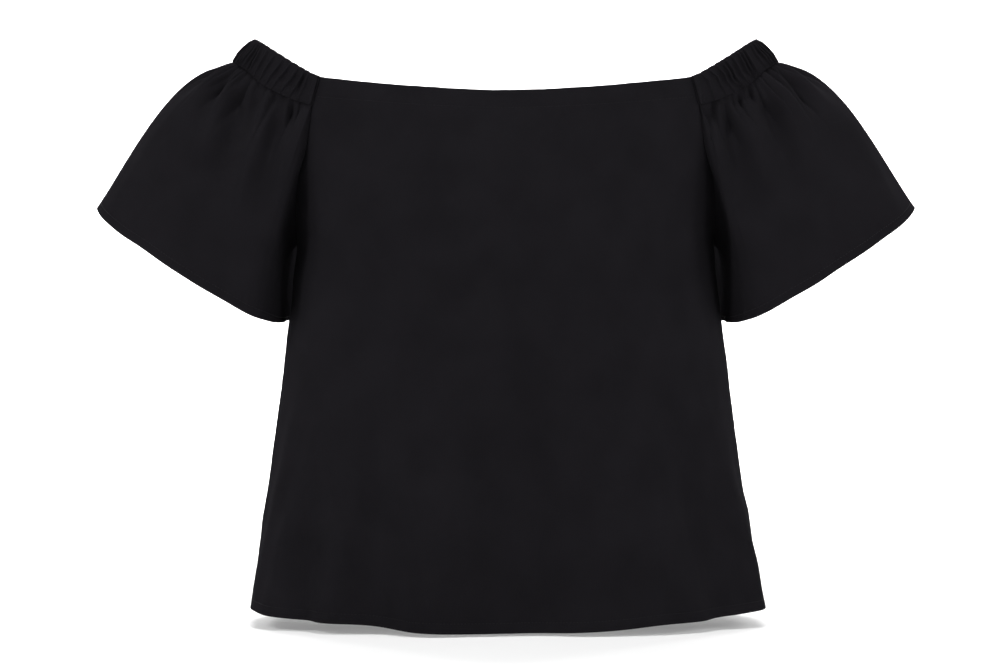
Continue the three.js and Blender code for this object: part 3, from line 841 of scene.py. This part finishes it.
def sleeve(name, seed, gathers, mirror):
    shares, row_depth = sleeve_rows()
    arounds = np.linspace(0, 360, SLEEVE_COLUMNS + 1)[:-1]
    share, around = np.meshgrid(shares, arounds, indexing="ij")
    base = sleeve_point(share, around)
    end = smooth(base[..., 0], *CROWN_REACH) * (1 - smooth(share, 0, 0.14))
    base[..., 0] -= CROWN_IN[0] * end
    base[..., 2] += CROWN_LIFT * end

    def place(s, a):
        return sleeve_point(s, np.mod(a, 360))

    normal = outward(place, np.clip(share, TINY, 1 - TINY), around)
    turn = 2 * np.clip((around - CASING_AROUND) / (360 - 2 * CASING_AROUND), 0, 1)
    valley, _, reach = pleat_shape(turn, seed)
    from_front = np.minimum(around, 360 - around)
    on_head = smooth(from_front, CASING_AROUND - 4, CASING_AROUND + 3)
    fade = 1 - smooth(share, 0, reach)
    depth = 0.75 * valley * on_head * fade * (0.4 + smooth(share, 0, 0.1))
    depth += long_gathers(share, around, gathers)
    depth += sleeve_ripples(share, around, on_head, seed)
    outer = base + normal * (depth - row_depth[:, None])[..., None]
    made, directions = sheet_object(name, outer, True, mirror)
    hem_row = shares.index(1 - HEM_STITCH / SLEEVE_LENGTH)
    top_row = shares.index(TOP_STITCH / SLEEVE_LENGTH)
    closed = list(range(SLEEVE_COLUMNS)) + [0]
    head = (arounds > CASING_AROUND + 1) & (arounds < 359 - CASING_AROUND)
    runs = [(outer[hem_row, closed], directions[hem_row, closed])]
    runs.append((outer[top_row, head], directions[top_row, head]))
    return made, stitches_object(name + "_stitches", runs, mirror)


def place_piece(piece, node, on_it):
    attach(piece, "root")
    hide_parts(node)
    for other in on_it:
        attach(other, "root")


front, front_stitches = panel("front_cloth", True, 11)
back, back_stitches = panel("back_cloth", False, 23)
left_casing = casing("left_casing_cloth", LEFT_SEED, False)
right_casing = casing("right_casing_cloth", RIGHT_SEED, True)
left_sleeve, left_stitches = sleeve("left_sleeve_cloth", LEFT_SEED, LEFT_GATHERS, False)
right_sleeve, right_stitches = sleeve("right_sleeve_cloth", RIGHT_SEED, RIGHT_GATHERS, True)

place_piece(front, "front_panel", [front_stitches])
place_piece(back, "back_panel", [back_stitches])
place_piece(left_casing, "left_casing", [])
place_piece(right_casing, "right_casing", [])
for sleeve_cloth, side, stitches in (
    (left_sleeve, "left", left_stitches),
    (right_sleeve, "right", right_stitches),
):
    node, on_casing = side + "_sleeve", [side + "_casing_cloth"]
    place_piece(sleeve_cloth, node, [stitches])

# Camera: level with the middle of the photograph, square to the front
PIXEL = 0.88
DISTANCE = 2600.0
SENSOR = 36.0
IMAGE_WIDTH = 1008
FAR_CLIP = 50.0
CAMERA_X = -1.32
CAMERA_HEIGHT = -230.0
camera_data = bpy.data.cameras.new("camera")
camera_data.sensor_width = SENSOR
camera_data.lens = SENSOR * DISTANCE / (IMAGE_WIDTH * PIXEL)
camera_data.clip_end = FAR_CLIP
camera = bpy.data.objects.new("camera", camera_data)
camera.location = (CAMERA_X * MM, -DISTANCE * MM, CAMERA_HEIGHT * MM)
camera.rotation_euler = (math.pi / 2, 0, 0)
bpy.context.scene.collection.objects.link(camera)
bpy.context.scene.camera = camera

# Studio: one pale sweep from the floor up the back wall, and soft light from above and in front
FLOOR_HEIGHT = -0.4805
SWEEP_FOOT = 3.4
SWEEP_REACH = 7.0
SWEEP_RADIUS = 1.0
SWEEP_STEPS = 12
UNDERLIGHT = 0.25
WORLD_LIGHT = 0.05


def studio_sweep():
    profile = [(-SWEEP_REACH, 0.0), (SWEEP_FOOT, 0.0)]
    for step in range(1, SWEEP_STEPS + 1):
        turn = math.pi / 2 * step / SWEEP_STEPS
        y = SWEEP_FOOT + SWEEP_RADIUS * math.sin(turn)
        profile.append((y, SWEEP_RADIUS * (1 - math.cos(turn))))
    profile.append((SWEEP_FOOT + SWEEP_RADIUS, SWEEP_REACH))
    points, faces = [], []
    for y, z in profile:
        points += [(x, y, FLOOR_HEIGHT + z) for x in (-SWEEP_REACH, SWEEP_REACH)]
    for i in range(len(profile) - 1):
        faces.append((2 * i, 2 * i + 1, 2 * i + 3, 2 * i + 2))
    material, tree, shader = new_material("studio_white", (0.77, 0.77, 0.77), 0.95, 0.0)
    shader.inputs["Emission Color"].default_value = (1, 1, 1, 1)
    shader.inputs["Emission Strength"].default_value = UNDERLIGHT
    speckle = add_node(tree, "ShaderNodeTexNoise", {"Scale": 3})
    shade = colour_ramp(tree, speckle.outputs["Fac"], (0.76, 0.76, 0.76), (0.78, 0.78, 0.78))
    tree.links.new(shade, shader.inputs["Base Color"])
    return mesh_object("studio_sweep", points, faces, material)


studio_sweep()


def soft_light(name, place, aim, size, power):
    data = bpy.data.lights.new(name, "AREA")
    data.shape = "RECTANGLE"
    data.size, data.size_y = size
    data.energy = power
    light = bpy.data.objects.new(name, data)
    light.location = place
    toward = np.array(aim, float) - np.array(place, float)
    toward /= np.linalg.norm(toward)
    light.rotation_euler = (math.acos(-toward[2]), 0, math.atan2(toward[0], -toward[1]) + math.pi)
    bpy.context.scene.collection.objects.link(light)


# name, place, aim, size, power
LIGHTS = [
    ("key", (-1.8, -1.8, 1.2), (0, 0, -0.25), (0.6, 0.6), 28),
    ("fill", (1.5, -2.1, 0.8), (0, 0, -0.25), (0.8, 0.8), 17.5),
    ("top", (0, -0.6, 2.2), (0, -0.1, -0.25), (1.0, 0.6), 30),
    ("left_side", (-2.0, -0.5, 0.3), (0, 0, -0.25), (0.6, 1.2), 7),
    ("right_side", (2.0, -0.6, 0.3), (0, 0, -0.25), (0.6, 1.2), 10),
    ("left_backdrop", (-2.2, 3.2, 1.5), (0.3, 4.4, -0.1), (1.0, 1.0), 130),
    ("right_backdrop", (2.2, 3.2, 1.5), (-0.3, 4.4, -0.1), (1.0, 1.0), 130),
    ("floor", (0, 0.95, 1.5), (0, 0.6, -0.48), (1.6, 0.6), 22),
    ("far_floor", (0, 2.5, 2.0), (0, 2.5, -0.48), (2.4, 1.6), 110),
]
for light_values in LIGHTS:
    soft_light(*light_values)

world = bpy.data.worlds.new("studio")
world.use_nodes = True
background = world.node_tree.nodes["Background"]
background.inputs["Color"].default_value = (1, 1, 1, 1)
background.inputs["Strength"].default_value = WORLD_LIGHT
bpy.context.scene.world = world
bpy.context.scene.view_settings.view_transform = "Standard"
